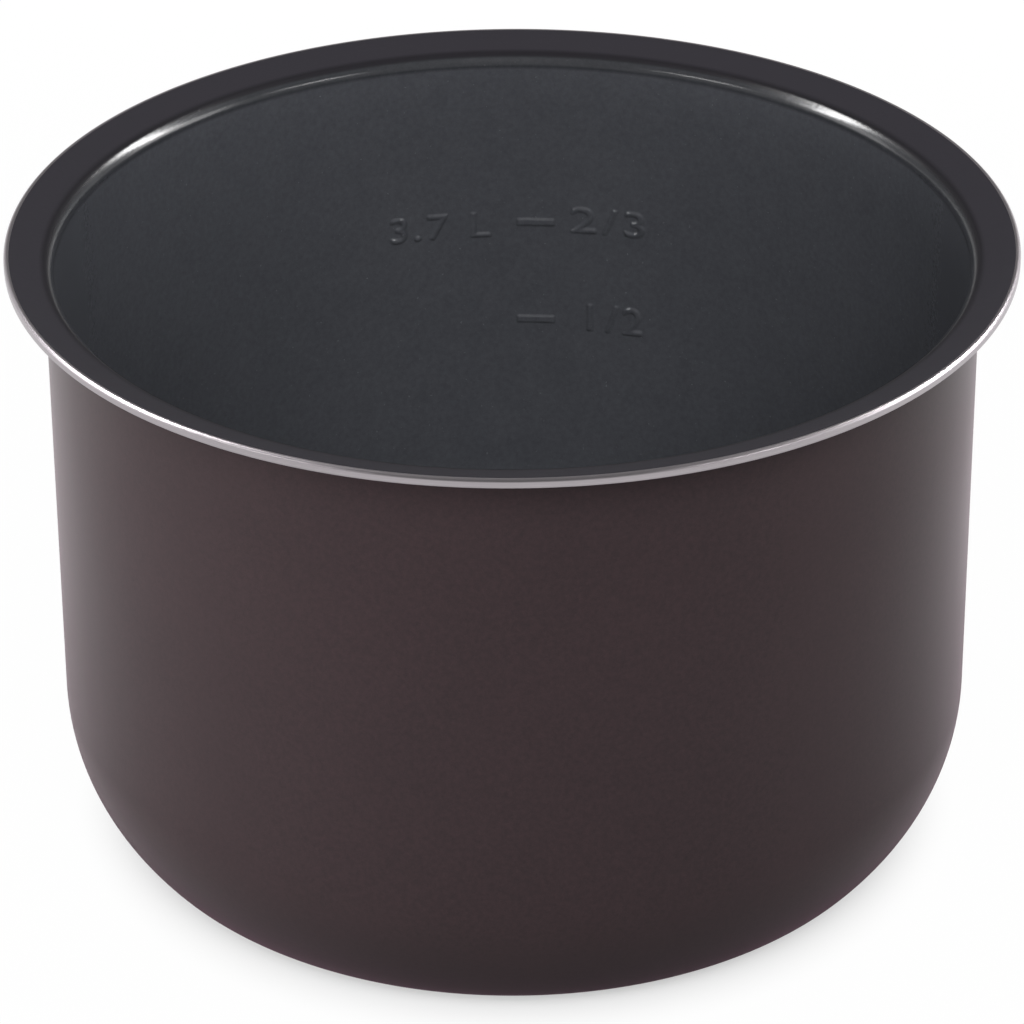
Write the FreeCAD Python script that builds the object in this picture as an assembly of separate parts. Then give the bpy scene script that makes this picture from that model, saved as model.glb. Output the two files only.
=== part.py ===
import FreeCAD, Part
import math
import os

# Removable inner pot of an electric pressure cooker: one drawn aluminium sheet with a dished base, a
# two-radius corner and a flared rim, lined with ceramic inside and coated outside.
# Millimetres and degrees. +Z is up, and the origin is on the pot's axis, in the plane it stands on.

# The drawn sheet, measured on its outer side
BODY_DIAMETER = 223.2
HEIGHT = 155.5
SHEET_THICKNESS = 2.3
CORNER_RADIUS = 51.0        # long bend below the straight wall
CORNER_TURN = 40.4          # degrees the long bend turns before the heel takes over
HEEL_RADIUS = 14.0          # tighter bend that ends on the foot ring
FOOT_RING_WIDTH = 14.0      # flat ring that sits on the heating plate
BASE_DISH = 0.8             # rise of the base at the axis, inside the foot ring

# The flared rim and its turned lip
RIM_OVERHANG = 9.4          # how far the lip stands out beyond the wall
RIM_SLOPE = 17.5            # degrees the rim climbs outwards
RIM_BEND_RADIUS = 1.0       # under the rim, where it leaves the wall
LIP_ROUND = 0.8             # top edge of the lip
LIP_UNDER_ROUND = 0.4       # lower edge of the lip

# The two coats
LINING_THICKNESS = 0.1
COAT_THICKNESS = 0.1
BARE_LIP_BAND = 0.4         # rim top left bare inside the lip's round
COAT_EDGE_HEIGHT = 0.35     # the outer coat stops on the heel, this far above the foot ring

# The stamped level bars on the inside of the wall
LEVELS = (76.8, 105.3)      # heights of their middles: half full and two thirds full
BAR_LENGTH = 10.4
BAR_HEIGHT = 2.4
BAR_RELIEF = 0.4            # how far a bar stands out of the sheet
BAR_CORNER_ROUND = 0.6      # its four corners, seen face on
BAR_ROUND = 0.3             # its crest's edges
BAR_TURN = 3.3              # degrees from +Y towards +X, to the middle of a bar

FULL_TURN = 360
AXIS_POINT = FreeCAD.Vector(0, 0, 0)
UP = FreeCAD.Vector(0, 0, 1)
OUT = FreeCAD.Vector(1, 0, 0)


def at(radius, height):
    return FreeCAD.Vector(radius, 0, height)


wall_radius = BODY_DIAMETER / 2
rim_radius = wall_radius + RIM_OVERHANG
slope = math.radians(RIM_SLOPE)
turn = math.radians(CORNER_TURN)

# Directions square to the sheet: upwards on the rim, and outwards where the two bends of the corner meet
rim_up = at(-math.sin(slope), math.cos(slope))
rim_out = at(math.cos(slope), math.sin(slope))
corner_out = at(math.cos(turn), -math.sin(turn))

# Centres of the bends. The rim bend sits so low that the sloping rim runs into the round of the lip.
heel_from_corner = corner_out * (CORNER_RADIUS - HEEL_RADIUS)
corner_centre = at(wall_radius - CORNER_RADIUS, HEEL_RADIUS - heel_from_corner.z)
heel_centre = corner_centre + heel_from_corner
lip_centre = at(rim_radius - LIP_ROUND, HEIGHT - LIP_ROUND)
rim_bend_radius_above = RIM_BEND_RADIUS + SHEET_THICKNESS
rim_run = lip_centre.x - wall_radius - RIM_BEND_RADIUS
rim_bend_drop = (rim_bend_radius_above - LIP_ROUND + rim_run * math.sin(slope)) / math.cos(slope)
rim_bend_centre = at(wall_radius + RIM_BEND_RADIUS, lip_centre.z - rim_bend_drop)
under_run = rim_radius - LIP_UNDER_ROUND - rim_bend_centre.x
under_rise = (RIM_BEND_RADIUS + LIP_UNDER_ROUND + under_run * math.sin(slope)) / math.cos(slope)
lip_under_centre = at(rim_radius - LIP_UNDER_ROUND, rim_bend_centre.z + under_rise)

# The dish is a shallow cap of this radius over the inside of the foot ring
foot_ring_inside = heel_centre.x - FOOT_RING_WIDTH
dish_radius = (foot_ring_inside**2 + BASE_DISH**2) / (2 * BASE_DISH)
dish_centre = at(0, BASE_DISH - dish_radius)


def arc(centre, radius, start, end):
    """An arc about a centre, from one direction to another less than a half turn away."""
    middle = (start + end).normalize()
    return Part.Arc(centre + start * radius, centre + middle * radius, centre + end * radius).toShape()


def base(depth):
    """The dish and the flat ring at a depth inside the sheet's outer side, from the axis to the heel."""
    radius = dish_radius + depth
    ring_start = at(math.sqrt(radius**2 - (depth - dish_centre.z)**2), depth)
    towards_ring = (ring_start - dish_centre).normalize()
    ring = Part.LineSegment(ring_start, at(heel_centre.x, depth)).toShape()
    return [arc(dish_centre, radius, UP, towards_ring), ring]


def side(depth, heel_start):
    """The bends at a depth inside the sheet's outer side, from a direction on the heel up to the rim."""
    return [
        arc(heel_centre, HEEL_RADIUS - depth, heel_start, corner_out),
        arc(corner_centre, CORNER_RADIUS - depth, corner_out, OUT),
        arc(rim_bend_centre, RIM_BEND_RADIUS + depth, -OUT, rim_up),
    ]


def spun(edges):
    """What an outline sweeps about the axis. Straight stretches join its edges where they stand apart."""
    outline = []
    for edge, following in zip(edges, edges[1:] + edges[:1]):
        outline.append(edge)
        gap = (edge.lastVertex(True).Point, following.firstVertex(True).Point)
        if not gap[0].isEqual(gap[1], 1e-6):
            outline.append(Part.LineSegment(*gap).toShape())
    return Part.Face(Part.Wire(outline)).revolve(AXIS_POINT, UP, FULL_TURN)


def backwards(edges):
    return [edge.reversed() for edge in reversed(edges)]


def level_bar(level, grown):
    """A bar that follows the inside of the wall, with round corners and crest, rooted in the sheet."""
    sheet_inside = wall_radius - SHEET_THICKNESS
    root = wall_radius - SHEET_THICKNESS / 2
    crest = sheet_inside - BAR_RELIEF - grown
    half_height = BAR_HEIGHT / 2 + grown
    half_turn = math.degrees((BAR_LENGTH / 2 + grown) / sheet_inside)
    corners = [
        at(crest, level - half_height),
        at(root, level - half_height),
        at(root, level + half_height),
        at(crest, level + half_height),
    ]
    section = Part.Face(Part.makePolygon(corners, True))
    section.rotate(AXIS_POINT, UP, 90 - BAR_TURN - half_turn)
    bar = section.revolve(AXIS_POINT, UP, 2 * half_turn)

    def at_crest(point):
        return math.hypot(point.x, point.y) < sheet_inside - BAR_RELIEF / 2

    def ends_at_crest(edge):
        return sum(at_crest(vertex.Point) for vertex in edge.Vertexes)

    bar = bar.makeFillet(BAR_CORNER_ROUND + grown, [edge for edge in bar.Edges if ends_at_crest(edge) == 1])
    return bar.makeFillet(BAR_ROUND + grown, [edge for edge in bar.Edges if ends_at_crest(edge) == 2])


def with_bars(bowl, grown):
    return bowl.fuse([level_bar(level, grown) for level in LEVELS]).removeSplitter()


def pot_shell():
    """The drawn sheet: outer side, turned lip, inner side and the stamped bars."""
    outer = base(0) + side(0, -UP)
    lip = [
        arc(lip_under_centre, LIP_UNDER_ROUND, -rim_up, OUT),
        arc(lip_centre, LIP_ROUND, OUT, rim_up),
    ]
    inner = base(SHEET_THICKNESS) + side(SHEET_THICKNESS, -UP)
    return with_bars(spun(outer + lip + backwards(inner)), 0)


def ceramic_lining(shell):
    """The coat on the whole inside and on top of the rim, up to the bare band beside the lip."""
    edge = lip_centre - rim_out * BARE_LIP_BAND
    under = base(SHEET_THICKNESS) + side(SHEET_THICKNESS, -UP)
    over = base(SHEET_THICKNESS + LINING_THICKNESS) + side(SHEET_THICKNESS + LINING_THICKNESS, -UP)
    end = Part.LineSegment(edge + rim_up * LIP_ROUND, edge + rim_up * (LIP_ROUND + LINING_THICKNESS))
    bowl = spun(under + [end.toShape()] + backwards(over))
    return with_bars(bowl, LINING_THICKNESS).cut(shell)


def outer_coat():
    """The coat on the outside, from under the lip, round the corner and on to the heel."""
    heel_edge = math.acos(1 - COAT_EDGE_HEIGHT / HEEL_RADIUS)
    heel_start = at(math.sin(heel_edge), -math.cos(heel_edge))
    end = Part.LineSegment(
        lip_under_centre - rim_up * (LIP_UNDER_ROUND + COAT_THICKNESS),
        lip_under_centre - rim_up * LIP_UNDER_ROUND,
    )
    return spun(side(-COAT_THICKNESS, heel_start) + [end.toShape()] + backwards(side(0, heel_start)))


shell = pot_shell()
nodes = {
    "pot_shell": shell,
    "ceramic_lining": ceramic_lining(shell),
    "outer_coat": outer_coat(),
}
os.makedirs("parts", exist_ok=True)
for name, shape in nodes.items():
    shape.exportStep(f"parts/{name}.step")
    print(name, "volume", round(shape.Volume), "cubic mm")
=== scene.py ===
import math

import bmesh
import bpy
from mathutils import Matrix, Quaternion, Vector


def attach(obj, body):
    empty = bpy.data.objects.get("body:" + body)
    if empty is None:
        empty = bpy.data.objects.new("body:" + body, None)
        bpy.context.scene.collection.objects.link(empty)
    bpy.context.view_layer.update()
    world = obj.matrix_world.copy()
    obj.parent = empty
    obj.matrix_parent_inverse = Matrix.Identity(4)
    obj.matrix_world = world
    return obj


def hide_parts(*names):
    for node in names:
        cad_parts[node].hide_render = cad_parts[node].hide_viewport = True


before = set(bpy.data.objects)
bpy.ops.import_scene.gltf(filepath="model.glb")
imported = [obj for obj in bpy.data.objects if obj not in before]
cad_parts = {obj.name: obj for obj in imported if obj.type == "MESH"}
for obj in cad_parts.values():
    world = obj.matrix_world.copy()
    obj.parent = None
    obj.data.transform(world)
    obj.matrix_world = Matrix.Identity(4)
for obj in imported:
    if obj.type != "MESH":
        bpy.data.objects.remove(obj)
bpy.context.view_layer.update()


# The pot: one aluminium sheet, deep drawn to a dished base, a corner of two radii, a straight wall and a
# flared rim. Both sides are coated, and the metal is bare only where a lathe cleaned it afterwards, on the
# lip and under the foot.
WALL_RADIUS = 0.1116            # outer side of the sheet, in metres as everything here
POT_HEIGHT = 0.1555
SHEET = 0.0023
CORNER_RADIUS = 0.051
CORNER_TURN = math.radians(40.4)
HEEL_RADIUS = 0.014
FOOT_RING_WIDTH = 0.014
BASE_DISH = 0.0008
RIM_OVERHANG = 0.0094
RIM_SLOPE = math.radians(17.5)
RIM_BEND_RADIUS = 0.001
LIP_ROUND = 0.0008
LIP_UNDER_ROUND = 0.0004
QUARTER = math.pi / 2
AROUND = 288                    # steps of a full turn
DISH_STEPS = 12                 # steps of each stretch of the section
RING_STEPS = 3
HEEL_STEPS = 14
CORNER_STEPS = 20
RIM_UNDER_STEPS = 8
RIM_BEND_STEPS = 10
LIP_UNDER_STEPS = 6
LIP_FACE_STEPS = 3
LIP_STEPS = 12
SEAM = 1e-6                     # points nearer than this are one
SHARP = math.radians(40)        # edges that turn more than this stay sharp


def at(radius, height):
    return Vector((radius, 0, height))


def turned(vector, angle):
    """A direction in the plane of the section, turned from the axis outwards."""
    return Matrix.Rotation(angle, 3, "Y") @ vector


rim_up = turned(at(0, 1), -RIM_SLOPE)
rim_out = turned(at(1, 0), -RIM_SLOPE)
corner_out = turned(at(1, 0), CORNER_TURN)
rim_radius = WALL_RADIUS + RIM_OVERHANG
heel_from_corner = corner_out * (CORNER_RADIUS - HEEL_RADIUS)
corner_centre = at(WALL_RADIUS - CORNER_RADIUS, HEEL_RADIUS - heel_from_corner.z)
heel_centre = corner_centre + heel_from_corner
lip_centre = at(rim_radius - LIP_ROUND, POT_HEIGHT - LIP_ROUND)
rim_run = lip_centre.x - WALL_RADIUS - RIM_BEND_RADIUS
rim_drop = (RIM_BEND_RADIUS + SHEET - LIP_ROUND + rim_run * math.sin(RIM_SLOPE)) / math.cos(RIM_SLOPE)
rim_bend_centre = at(WALL_RADIUS + RIM_BEND_RADIUS, lip_centre.z - rim_drop)
under_run = rim_radius - LIP_UNDER_ROUND - rim_bend_centre.x
under_rise = (RIM_BEND_RADIUS + LIP_UNDER_ROUND + under_run * math.sin(RIM_SLOPE)) / math.cos(RIM_SLOPE)
lip_under_centre = at(rim_radius - LIP_UNDER_ROUND, rim_bend_centre.z + under_rise)
ring_inside = heel_centre.x - FOOT_RING_WIDTH
dish_radius = (ring_inside**2 + BASE_DISH**2) / (2 * BASE_DISH)
dish_centre = at(0, BASE_DISH - dish_radius)


class Section:
    """A section of the pot in edit mode, drawn from point to point and then spun about the pot's axis."""

    def __init__(self, name, start):
        bpy.ops.object.select_all(action="DESELECT")
        bpy.ops.mesh.primitive_plane_add(size=SHEET)
        self.piece = bpy.context.object
        self.piece.name = self.piece.data.name = name
        bpy.ops.object.mode_set(mode="EDIT")
        bpy.ops.mesh.select_all(action="SELECT")
        bpy.ops.mesh.merge(type="CENTER")
        bpy.ops.transform.translate(value=start)
        self.point = start.copy()

    def line(self, end, steps=1):
        step = (end - self.point) / steps
        for _ in range(steps):
            bpy.ops.mesh.extrude_vertices_move(TRANSFORM_OT_translate={"value": step})
        self.point = end.copy()

    def bend(self, centre, angle, steps):
        bpy.ops.mesh.spin(steps=steps, angle=-angle, center=centre, axis=(0, 1, 0))
        self.point = centre + turned(self.point - centre, angle)

    def base(self, depth, outwards):
        """The dish and the flat foot ring at a depth inside the sheet's outer side."""
        radius = dish_radius + depth
        ring_start = at(math.sqrt(radius**2 - (depth - dish_centre.z)**2), depth)
        dish_turn = math.asin(ring_start.x / radius)
        if outwards:
            self.bend(dish_centre, dish_turn, DISH_STEPS)
            self.line(at(heel_centre.x, depth), RING_STEPS)
        else:
            self.line(ring_start, RING_STEPS)
            self.bend(dish_centre, -dish_turn, DISH_STEPS)

    def corner(self, upwards, heel_turn=QUARTER - CORNER_TURN):
        """The heel and the long bend above it, wherever the point stands in the sheet."""
        if upwards:
            self.bend(heel_centre, -heel_turn, HEEL_STEPS)
            self.bend(corner_centre, -CORNER_TURN, CORNER_STEPS)
        else:
            self.bend(corner_centre, CORNER_TURN, CORNER_STEPS)
            self.bend(heel_centre, heel_turn, HEEL_STEPS)

    def spin(self):
        """Sweeps the section round the axis, closes the seam and the poles, and gives the piece."""
        bpy.ops.mesh.select_all(action="SELECT")
        bpy.ops.mesh.spin(steps=AROUND, angle=2 * math.pi, center=(0, 0, 0), axis=(0, 0, 1))
        bpy.ops.mesh.select_all(action="SELECT")
        bpy.ops.mesh.remove_doubles(threshold=SEAM)
        bpy.ops.mesh.normals_make_consistent(inside=False)
        bpy.ops.object.mode_set(mode="OBJECT")
        bpy.ops.object.shade_smooth_by_angle(angle=SHARP)
        return self.piece


section = Section("pot_shell_bare", at(0, BASE_DISH))
section.base(0, outwards=True)
section.corner(upwards=True)
section.line(at(WALL_RADIUS, rim_bend_centre.z))
section.bend(rim_bend_centre, QUARTER - RIM_SLOPE, RIM_UNDER_STEPS)
section.line(lip_under_centre - rim_up * LIP_UNDER_ROUND)
section.bend(lip_under_centre, RIM_SLOPE - QUARTER, LIP_UNDER_STEPS)
section.line(at(rim_radius, lip_centre.z), LIP_FACE_STEPS)
section.bend(lip_centre, -QUARTER - RIM_SLOPE, LIP_STEPS)
section.line(rim_bend_centre + rim_up * (RIM_BEND_RADIUS + SHEET))
section.bend(rim_bend_centre, RIM_SLOPE - QUARTER, RIM_BEND_STEPS)
section.line(at(WALL_RADIUS - SHEET, corner_centre.z))
section.corner(upwards=False)
section.base(SHEET, outwards=False)
pot_shell = section.spin()


class Wire:
    """An output of a shader node. Sums on it add Math nodes to its material."""

    def __init__(self, tree, socket=None):
        self.tree = tree
        self.socket = socket

    def node(self, kind, settings, sockets, output=0):
        """Adds a node, with its settings first and then the values or wires of its sockets."""
        node = self.tree.nodes.new(kind)
        for name, value in settings.items():
            if name == "stops":
                stops = node.color_ramp.elements
                while len(stops) < len(value):
                    stops.new(1)
                for stop, (place, grey) in zip(stops, value):
                    stop.position = place
                    stop.color = (grey, grey, grey, 1)
            else:
                setattr(node, name, value)
        for name, value in sockets.items():
            if isinstance(value, Wire):
                self.tree.links.new(value.socket, node.inputs[name])
            else:
                node.inputs[name].default_value = value
        return Wire(self.tree, node.outputs[output] if node.outputs else None)

    def math(self, operation, *values):
        return self.node("ShaderNodeMath", {"operation": operation}, dict(enumerate(values)))

    def __add__(self, other):
        return self.math("ADD", self, other)

    def __radd__(self, other):
        return self.math("ADD", other, self)

    def __sub__(self, other):
        return self.math("SUBTRACT", self, other)

    def __rsub__(self, other):
        return self.math("SUBTRACT", other, self)

    def __mul__(self, other):
        return self.math("MULTIPLY", self, other)

    def __rmul__(self, other):
        return self.math("MULTIPLY", other, self)

    def __pow__(self, other):
        return self.math("POWER", self, other)


def new_finish(piece, name):
    """A new, empty material on a piece, as the wire that its nodes start from."""
    finish = bpy.data.materials.new(name)
    finish.use_nodes = True
    finish.node_tree.nodes.clear()
    piece.data.materials.clear()
    piece.data.materials.append(finish)
    return Wire(finish.node_tree)


def blended(start, share, first, second):
    """A colour between two others."""
    return start.node(
        "ShaderNodeMix", {"data_type": "RGBA"}, {"Factor": share, 6: first, 7: second}, output=2
    )


def noise(start, place, scale, detail):
    """A cloudy pattern in space, with its scale in patches to the metre."""
    return start.node("ShaderNodeTexNoise", {}, {"Vector": place, "Scale": scale, "Detail": detail})


ALUMINIUM = (0.48, 0.445, 0.465, 1)
ALUMINIUM_DULL = (0.29, 0.265, 0.28, 1)
start = new_finish(pot_shell, "turned_aluminium")
place = start.node("ShaderNodeTexCoord", {}, {}, "Object")
x, y, z = (start.node("ShaderNodeSeparateXYZ", {}, {"Vector": place}, axis) for axis in "XYZ")
across = (x * x + y * y) ** 0.5
tool_path = across + z
fine_lines, broad_lines = (
    start.node(
        "ShaderNodeTexNoise",
        {"noise_dimensions": "1D"},
        {"W": tool_path, "Scale": to_the_metre, "Detail": detail},
    )
    for to_the_metre, detail in ((9000, 2), (1100, 3))
)
handling = noise(start, place, scale=60, detail=4)
lines = 0.6 * fine_lines + 0.4 * broad_lines
bump = start.node("ShaderNodeBump", {}, {"Strength": 0.5, "Distance": 0.00004, "Height": lines})
rings = 0.3 * handling + 1.6 * lines - 0.45
shader = start.node(
    "ShaderNodeBsdfPrincipled",
    {},
    {
        "Base Color": blended(start, rings, ALUMINIUM, ALUMINIUM_DULL),
        "Metallic": 1.0,
        "Roughness": 0.22 + 0.16 * lines + 0.06 * handling,
        "Normal": bump,
    },
)
start.node("ShaderNodeOutputMaterial", {}, {"Surface": shader})

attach(pot_shell, "root")
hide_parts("pot_shell")


# The ceramic lining: a dark grey non-stick coat sprayed over the whole inside and the top of the rim, and
# fired. It rounds off the stamped level bars and their numbers, which stand out of the far wall.
LINING = 0.0001
BARE_LIP_BAND = 0.0002          # rim top left bare inside the lip's round
LINING_BEND_STEPS = 16
LINING_RIM_STEPS = 4
PLAIN_WALL_STEPS = 6
MARKS_LOW = 0.0695              # the finer stretch of wall that carries the marks
MARKS_HIGH = 0.1145
MARK_ROWS = 18
MARKS_LEFT = math.radians(-24)
MARKS_RIGHT = math.radians(22)
MARK_CUTS = 7
MARKED_WALL = "marked_wall"     # the group of its points
lining_radius = WALL_RADIUS - SHEET - LINING
lining_edge = lip_centre - rim_out * BARE_LIP_BAND

section = Section("ceramic_lining_fired", at(0, BASE_DISH + SHEET))
section.base(SHEET, outwards=True)
section.corner(upwards=True)
section.line(at(WALL_RADIUS - SHEET, rim_bend_centre.z))
section.bend(rim_bend_centre, QUARTER - RIM_SLOPE, LINING_BEND_STEPS)
section.line(lining_edge + rim_up * LIP_ROUND)
section.line(lining_edge + rim_up * (LIP_ROUND + LINING))
section.line(rim_bend_centre + rim_up * (RIM_BEND_RADIUS + SHEET + LINING), LINING_RIM_STEPS)
section.bend(rim_bend_centre, RIM_SLOPE - QUARTER, LINING_BEND_STEPS)
section.line(at(lining_radius, MARKS_HIGH), PLAIN_WALL_STEPS)
section.line(at(lining_radius, MARKS_LOW), MARK_ROWS)
section.line(at(lining_radius, corner_centre.z), PLAIN_WALL_STEPS)
section.corner(upwards=False)
section.base(SHEET + LINING, outwards=False)
lining = section.spin()

MARK_RELIEF = 0.00045           # how far a mark stands out of the wall
MARK_SKIRT = 0.0006             # the coat runs down this far round a mark's flat crest
STROKE_THINNED = 0.00012        # taken off each side of a numeral's stroke
BAR_CREST = (0.0093, 0.0013)    # length and height of a level bar's crest
BAR_MIDDLE = 0.0063             # along the wall, from +Y towards +X
HALF_FULL = 0.0768              # heights of the bars' middles
TWO_THIRDS_FULL = 0.1053
STAMP_CUTS = 6
LETTER_SPACING = 1.15


def curved_as_wall(piece, group=""):
    """Bends a piece, or a group of its points, to the round of the lining's wall."""
    curve = piece.modifiers.new("curve", "CAST")
    curve.cast_type = "CYLINDER"
    curve.factor = 1
    curve.use_radius_as_size = False
    curve.size = lining_radius
    curve.vertex_group = group
    bpy.ops.object.modifier_apply(modifier=curve.name)


def flat_on_wall(mark):
    """Stands a flat mark up against the far wall, facing the axis, and gives it the wall's curve."""
    bpy.ops.object.transform_apply(location=True, rotation=True, scale=True)
    bpy.ops.object.mode_set(mode="EDIT")
    bpy.ops.mesh.select_all(action="SELECT")
    bpy.ops.mesh.subdivide(number_cuts=STAMP_CUTS)
    bpy.ops.object.mode_set(mode="OBJECT")
    curved_as_wall(mark)
    return mark


def level_bar(height):
    bpy.ops.object.select_all(action="DESELECT")
    bpy.ops.mesh.primitive_plane_add(
        size=1, location=(BAR_MIDDLE, lining_radius, height), rotation=(QUARTER, 0, 0)
    )
    mark = bpy.context.object
    mark.scale = (*BAR_CREST, 1)
    return flat_on_wall(mark)


def numerals(text, left, right, low, high):
    """Numerals that fill a stretch of the wall, measured along it from +Y towards +X, and upwards."""
    bpy.ops.object.select_all(action="DESELECT")
    bpy.ops.object.text_add(rotation=(QUARTER, 0, 0))
    mark = bpy.context.object
    mark.data.body = text
    mark.data.size = 1
    mark.data.space_character = LETTER_SPACING
    mark.data.offset = -STROKE_THINNED / (high - low)
    bpy.ops.object.convert(target="MESH")
    corners = [Vector(corner) for corner in mark.bound_box]
    near, far = corners[0], corners[6]
    wide = (right - left) / (far.x - near.x)
    tall = (high - low) / (far.y - near.y)
    mark.scale = (wide, tall, 1)
    mark.location = (left - near.x * wide, lining_radius, low - near.y * tall)
    return flat_on_wall(mark)


marks = [
    level_bar(HALF_FULL),
    level_bar(TWO_THIRDS_FULL),
    numerals("2/3", left=0.0160, right=0.0362, low=0.1030, high=0.1098),
    numerals("1/2", left=0.0206, right=0.0360, low=0.0742, high=0.0816),
    numerals("3.7 L", left=-0.0330, right=-0.0060, low=0.1014, high=0.1080),
]
bpy.ops.object.select_all(action="DESELECT")
for mark in marks:
    mark.select_set(True)
bpy.context.view_layer.objects.active = marks[0]
bpy.ops.object.join()
stamp = marks[0]

bpy.ops.object.select_all(action="DESELECT")
bpy.context.view_layer.objects.active = lining
lining.select_set(True)
bpy.ops.object.mode_set(mode="EDIT")
bpy.ops.mesh.select_all(action="DESELECT")
mesh = bmesh.from_edit_mesh(lining.data)
for face in mesh.faces:
    middle = face.calc_center_median()
    inside = math.hypot(middle.x, middle.y) < lining_radius + LINING / 2
    beside = MARKS_LEFT < math.atan2(middle.x, middle.y) < MARKS_RIGHT
    if inside and beside and MARKS_LOW < middle.z < MARKS_HIGH:
        face.select_set(True)
bmesh.update_edit_mesh(lining.data)
bpy.ops.mesh.subdivide(number_cuts=MARK_CUTS)
lining.vertex_groups.new(name=MARKED_WALL)
bpy.ops.object.vertex_group_assign()
bpy.ops.object.mode_set(mode="OBJECT")

curved_as_wall(lining, MARKED_WALL)
nearness = lining.modifiers.new("nearness", "VERTEX_WEIGHT_PROXIMITY")
nearness.vertex_group = MARKED_WALL
nearness.target = stamp
nearness.proximity_mode = "GEOMETRY"
nearness.proximity_geometry = {"FACE"}
nearness.min_dist = MARK_SKIRT
nearness.max_dist = 0
nearness.falloff_type = "SMOOTH"
relief = lining.modifiers.new("relief", "DISPLACE")
relief.vertex_group = MARKED_WALL
relief.mid_level = 0
relief.strength = MARK_RELIEF
for modifier in (nearness, relief):
    bpy.ops.object.modifier_apply(modifier=modifier.name)
lining.vertex_groups.clear()
bpy.data.objects.remove(stamp)

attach(lining, "root")
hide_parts("ceramic_lining")


def faded(start, value, span, ends=(0, 1)):
    """A smooth change from one number to another as a value crosses a span."""
    return start.node(
        "ShaderNodeMapRange",
        {"interpolation_type": "SMOOTHSTEP"},
        {"Value": value, "From Min": span[0], "From Max": span[1], "To Min": ends[0], "To Max": ends[1]},
    )


CERAMIC = (0.0485, 0.0510, 0.0585, 1)
CERAMIC_PALE = (0.0705, 0.0730, 0.0825, 1)
SPECK = (0.10, 0.10, 0.11, 1)
# The rim's colour: a mauve grey of its own, made darker than the wall with painted shade on its upward face.
RIM_TINT_AND_SHADE = (0.0322, 0.0298, 0.0365, 1)
BLACK = (0, 0, 0, 1)
RIM_EDGE = (0.1519, 0.1525)     # heights between which the wall's colour turns into the rim's mauve grey, darkened with painted shade
RIM_FLAT = (0.1522, 0.1530)     # and between which the gloss of the bend is lost
BEND_SPAN = (0.1490, 0.1535)    # the bend under the rim, darkened with painted shade
PAINTED_BEND_SHADE = ((0, 0), (0.2, 0.46), (0.64, 0.46), (0.73, 0.5), (0.87, 0.5), (0.96, 0))
DUST = (0.81, 0.90)             # only the peaks of its noise show as specks
start = new_finish(lining, "fired_ceramic")
place = start.node("ShaderNodeTexCoord", {}, {}, "Object")
peel = noise(start, place, scale=700, detail=2)
grain = noise(start, place, scale=2600, detail=2)
cloud = noise(start, place, scale=120, detail=4)
dust = noise(start, place, scale=1500, detail=0)
height = start.node("ShaderNodeSeparateXYZ", {}, {"Vector": place}, "Z")
on_rim, on_flat = (faded(start, height, span) for span in (RIM_EDGE, RIM_FLAT))
along_bend = start.node(
    "ShaderNodeMapRange", {}, {"Value": height, "From Min": BEND_SPAN[0], "From Max": BEND_SPAN[1]}
)
# Painted shade: a darker band along the bend under the rim, its colour mixed towards black.
painted_bend_shade = start.node("ShaderNodeValToRGB", {"stops": PAINTED_BEND_SHADE}, {"Fac": along_bend})
specks = start.node(
    "ShaderNodeMapRange", {}, {"Value": dust, "From Min": DUST[0], "From Max": DUST[1]}
)
bump = start.node(
    "ShaderNodeBump", {}, {"Strength": 0.35, "Distance": 0.00012, "Height": 0.7 * peel + 0.3 * grain}
)
mottle = 0.7 * grain + peel + 0.5 * cloud - 0.6
wall_colour = blended(start, mottle, CERAMIC, CERAMIC_PALE)
wall_colour = blended(start, specks, wall_colour, SPECK)
colour = blended(start, painted_bend_shade, blended(start, on_rim, wall_colour, RIM_TINT_AND_SHADE), BLACK)
glossy, dull = (
    start.node(
        "ShaderNodeBsdfPrincipled",
        {},
        {
            "Base Color": colour,
            "Roughness": roughness + 0.08 * cloud,
            "Specular IOR Level": gloss,
            "Normal": bump,
        },
    )
    for roughness, gloss in ((0.16, 0.45), (0.5, 0.05))
)
shader = start.node("ShaderNodeMixShader", {}, {0: on_flat, 1: glossy, 2: dull})
start.node("ShaderNodeOutputMaterial", {}, {"Surface": shader})


# The outer coat: a brown satin heat-resistant coat, sprayed on the outside from under the lip, round the
# corner and on to the heel, where the lathe has turned it away from the foot.
COAT = 0.0001
COAT_EDGE_HEIGHT = 0.00035      # where it stops on the heel
COAT_WALL_STEPS = 4
COAT_RIM_STEPS = 2
heel_edge = math.acos(1 - COAT_EDGE_HEIGHT / HEEL_RADIUS)
heel_start = turned(at(0, -1), -heel_edge)
heel_left = QUARTER - CORNER_TURN - heel_edge

section = Section("outer_coat_sprayed", heel_centre + heel_start * (HEEL_RADIUS + COAT))
section.corner(upwards=True, heel_turn=heel_left)
section.line(at(WALL_RADIUS + COAT, rim_bend_centre.z), COAT_WALL_STEPS)
section.bend(rim_bend_centre, QUARTER - RIM_SLOPE, RIM_UNDER_STEPS)
section.line(lip_under_centre - rim_up * (LIP_UNDER_ROUND + COAT), COAT_RIM_STEPS)
section.line(lip_under_centre - rim_up * LIP_UNDER_ROUND)
section.line(rim_bend_centre + rim_up * RIM_BEND_RADIUS)
section.bend(rim_bend_centre, RIM_SLOPE - QUARTER, RIM_UNDER_STEPS)
section.line(at(WALL_RADIUS, corner_centre.z))
section.corner(upwards=False, heel_turn=heel_left)
section.line(heel_centre + heel_start * (HEEL_RADIUS + COAT))
outer_coat = section.spin()

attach(outer_coat, "root")
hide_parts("outer_coat")

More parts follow.
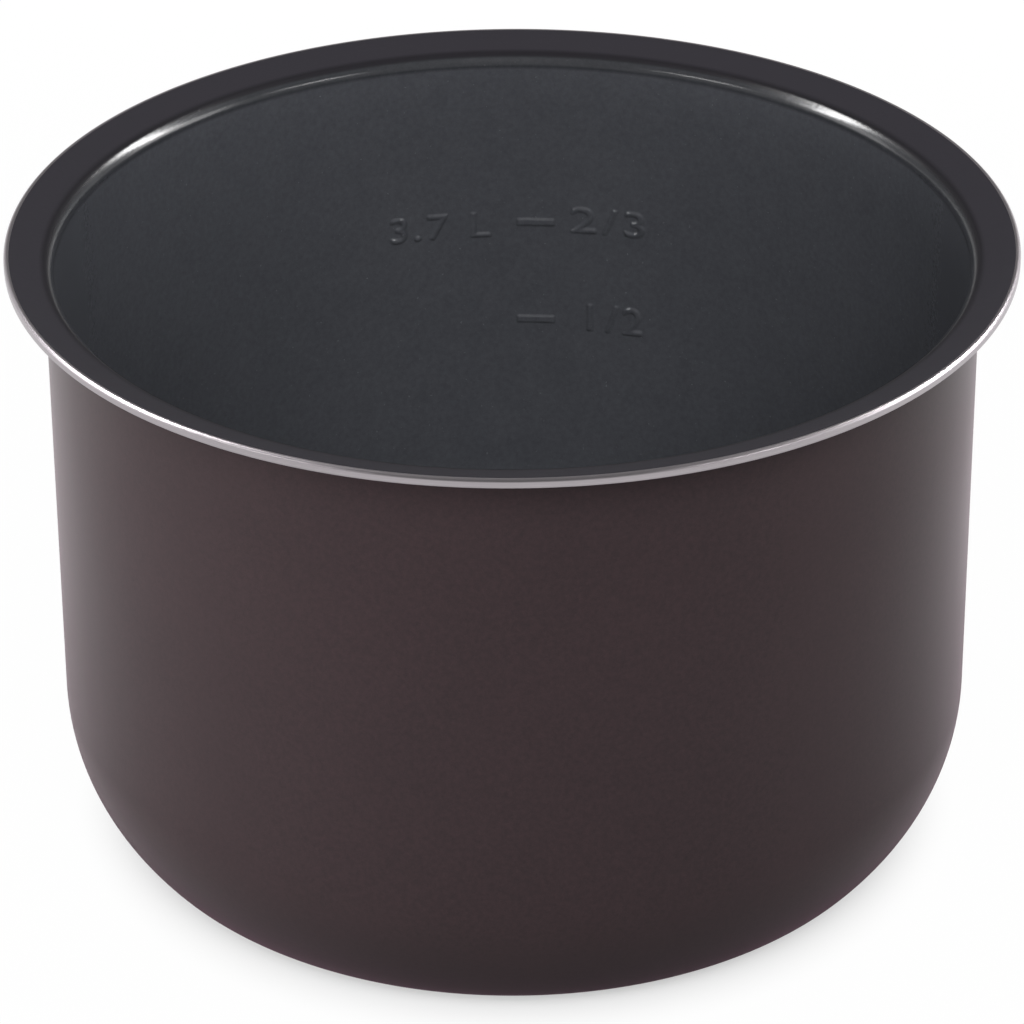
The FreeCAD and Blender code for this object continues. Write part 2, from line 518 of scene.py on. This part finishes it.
BROWN = (0.0203, 0.0152, 0.0162, 1)
BROWN_PALE = (0.0340, 0.0222, 0.0237, 1)
HEEL_PAINTED_SHADE = (0.0140, 0.0132, 0.0140, 1)
EDGE_BLOOM = (1, 0.45, 0.7, 1)
GLINT_TINT = (1, 0.8, 0.88, 1)
HEEL_DULL_AND_SHADED = (0.006, 0.035)    # heights between which the coat loses its gloss and darkens with painted shade towards the heel
start = new_finish(outer_coat, "brown_satin_coat")
place = start.node("ShaderNodeTexCoord", {}, {}, "Object")
mist = noise(start, place, scale=3200, detail=2)
blotch = noise(start, place, scale=800, detail=3)
cloud = noise(start, place, scale=30, detail=3)
height = start.node("ShaderNodeSeparateXYZ", {}, {"Vector": place}, "Z")
dull_and_shaded = faded(start, height, HEEL_DULL_AND_SHADED, ends=(1, 0))
bump = start.node("ShaderNodeBump", {}, {"Strength": 0.2, "Distance": 0.00005, "Height": mist})
mottle = 0.7 * mist + 1.1 * blotch + 0.4 * cloud - 0.6
colour = blended(start, mottle, BROWN, BROWN_PALE)
# Painted shade: towards the heel the brown is mixed with a darker one.
colour = blended(start, 0.4 * dull_and_shaded, colour, HEEL_PAINTED_SHADE)
satin, dry = (
    start.node(
        "ShaderNodeBsdfPrincipled",
        {},
        {
            "Base Color": colour,
            "Roughness": roughness + 0.06 * cloud,
            "Specular IOR Level": gloss,
            "Specular Tint": GLINT_TINT,
            "Sheen Weight": 0.08,
            "Sheen Roughness": 0.3,
            "Sheen Tint": EDGE_BLOOM,
            "Normal": bump,
        },
    )
    for roughness, gloss in ((0.27, 0.11), (0.5, 0.04))
)
shader = start.node("ShaderNodeMixShader", {}, {0: dull_and_shaded, 1: satin, 2: dry})
start.node("ShaderNodeOutputMaterial", {}, {"Surface": shader})


# The studio: a white floor and low white walls under a dim ceiling. A soft fill lamp stands on the camera's
# side, soft boxes and low panels beside the pot shape its wall, and narrow lamps glint on its mouth and lip.
FLOOR_SIZE = 12.0
FLOOR_DROP = 0.0002
FLOOR_WHITE = (0.54, 0.54, 0.54, 1)
FLOOR_GLOW = 0.985              # share of the far floor that is white by itself
SHADOW_REACH = (0.075, 0.112)   # round the pot the floor is only as bright as it is lit
MIRROR_REACH = (0.11, 0.24)     # the same for what the pot's own surfaces mirror
WHITE = (1, 1, 1, 1)
bpy.ops.object.select_all(action="DESELECT")
bpy.ops.mesh.primitive_plane_add(size=FLOOR_SIZE, location=(0, 0, -FLOOR_DROP))
floor = bpy.context.object
floor.name = "floor"
start = new_finish(floor, "white_floor")
seen = start.node("ShaderNodeLightPath", {}, {}, "Is Camera Ray")
mirrored = start.node("ShaderNodeLightPath", {}, {}, "Is Glossy Ray")
through = start.node("ShaderNodeLightPath", {}, {}, "Is Transmission Ray")
place = start.node("ShaderNodeTexCoord", {}, {}, "Object")
x, y = (start.node("ShaderNodeSeparateXYZ", {}, {"Vector": place}, axis) for axis in "XY")
away = (x * x + y * y) ** 0.5
shown, reflected = (faded(start, away, reach) for reach in (SHADOW_REACH, MIRROR_REACH))
lit = start.node("ShaderNodeBsdfDiffuse", {}, {"Color": FLOOR_WHITE})
glow = start.node("ShaderNodeEmission", {}, {"Color": WHITE, "Strength": 1.0})
surface = start.node(
    "ShaderNodeMixShader",
    {},
    {0: FLOOR_GLOW * (shown * seen + reflected * (mirrored + through)), 1: lit, 2: glow},
)
start.node("ShaderNodeOutputMaterial", {}, {"Surface": surface})

CEILING_LIGHT = 0.2
WALL_TOP = (0.03, 0.20)         # heights between which the white of the walls fades, as sines
world = bpy.data.worlds.new("dim_studio")
bpy.context.scene.world = world
world.use_nodes = True
world.node_tree.nodes.clear()
start = Wire(world.node_tree)
towards = start.node("ShaderNodeTexCoord", {}, {}, "Generated")
climb = start.node("ShaderNodeSeparateXYZ", {}, {"Vector": towards}, "Z")
brightness = faded(start, climb, WALL_TOP, ends=(1, CEILING_LIGHT))
background = start.node("ShaderNodeBackground", {}, {"Color": WHITE, "Strength": brightness})
start.node("ShaderNodeOutputWorld", {}, {"Surface": background})


def soft_lamp(name, bearing, climb, height, distance, size, brightness, roll=0):
    """A flat lamp that faces the pot's axis at a height. Its bearing is in degrees from +Y towards +X."""
    bearing, climb = math.radians(bearing), math.radians(climb)
    level = math.cos(climb)
    towards = Vector((math.sin(bearing) * level, math.cos(bearing) * level, math.sin(climb)))
    bpy.ops.object.select_all(action="DESELECT")
    bpy.ops.object.light_add(type="AREA", location=Vector((0, 0, height)) + towards * distance)
    lamp = bpy.context.object
    lamp.name = name
    facing = towards.to_track_quat("Z", "Y") @ Quaternion((0, 0, 1), math.radians(roll))
    lamp.rotation_euler = facing.to_euler()
    lamp.data.shape = "RECTANGLE"
    lamp.data.size, lamp.data.size_y = size
    lamp.data.energy = brightness * math.pi * size[0] * size[1]
    lamp.visible_camera = False
    return lamp


LAMP_DISTANCE = 1.3
SOFTBOX = (0.7, 0.7)
PANEL = (0.5, 0.2)
PANEL_DISTANCE = 0.6
PANEL_HEIGHT = 0.1
for name, bearing, climb, brightness in (("fill_front", 178, 40, 10.9), ("fill_back", 30, 35, 1.9)):
    fill = soft_lamp(name, bearing, climb, POT_HEIGHT, LAMP_DISTANCE, SOFTBOX, brightness)
    fill.visible_glossy = False
for name, bearing, climb, brightness in (("side_right", 85, 8, 5.0), ("side_left", 275, 8, 2.5)):
    soft_lamp(name, bearing, climb, POT_HEIGHT, LAMP_DISTANCE, SOFTBOX, brightness)
for bearing, brightness in ((0, 6.0), (45, 2.2), (240, 1.5), (255, 9.3), (285, 1.0)):
    panel = soft_lamp(f"panel_{bearing}", bearing, 0, PANEL_HEIGHT, PANEL_DISTANCE, PANEL, brightness)
    panel.visible_glossy = False
for name, bearing, climb, size, roll, brightness in (
    ("glint_right", 62, 31, (1.1, 0.15), 37, 40),
    ("glint_left", 287, 39, (1.3, 0.15), -41, 40),
    ("glint_front_right", 127, 25, (0.5, 0.12), 0, 10),
    ("glint_front_left", 233, 25, (0.5, 0.12), 0, 10),
):
    glint = soft_lamp(name, bearing, climb, POT_HEIGHT, LAMP_DISTANCE, size, brightness, roll)
    glint.data.shape = "ELLIPSE"
    glint.visible_diffuse = False


# The camera: at the height of a cook's eye, about a metre in front of the pot, looking down into its mouth
# with a long lens.
CAMERA_PLACE = (-0.00036, -1.06752, 0.68143)
CAMERA_PITCH = 0.513536
CAMERA_ROLL = math.radians(-0.3)
CAMERA_LENS = 175.04            # in millimetres, as the sensor's width is
CAMERA_SENSOR = 36
camera_data = bpy.data.cameras.new("camera")
camera = bpy.data.objects.new("camera", camera_data)
bpy.context.scene.collection.objects.link(camera)
camera_data.lens = CAMERA_LENS
camera_data.sensor_width = CAMERA_SENSOR
camera.location = CAMERA_PLACE
look = Matrix.Rotation(QUARTER - CAMERA_PITCH, 3, "X") @ Matrix.Rotation(CAMERA_ROLL, 3, "Z")
camera.rotation_euler = look.to_euler()
bpy.context.scene.camera = camera
bpy.context.scene.view_settings.view_transform = "Standard"

bpy.context.view_layer.update()
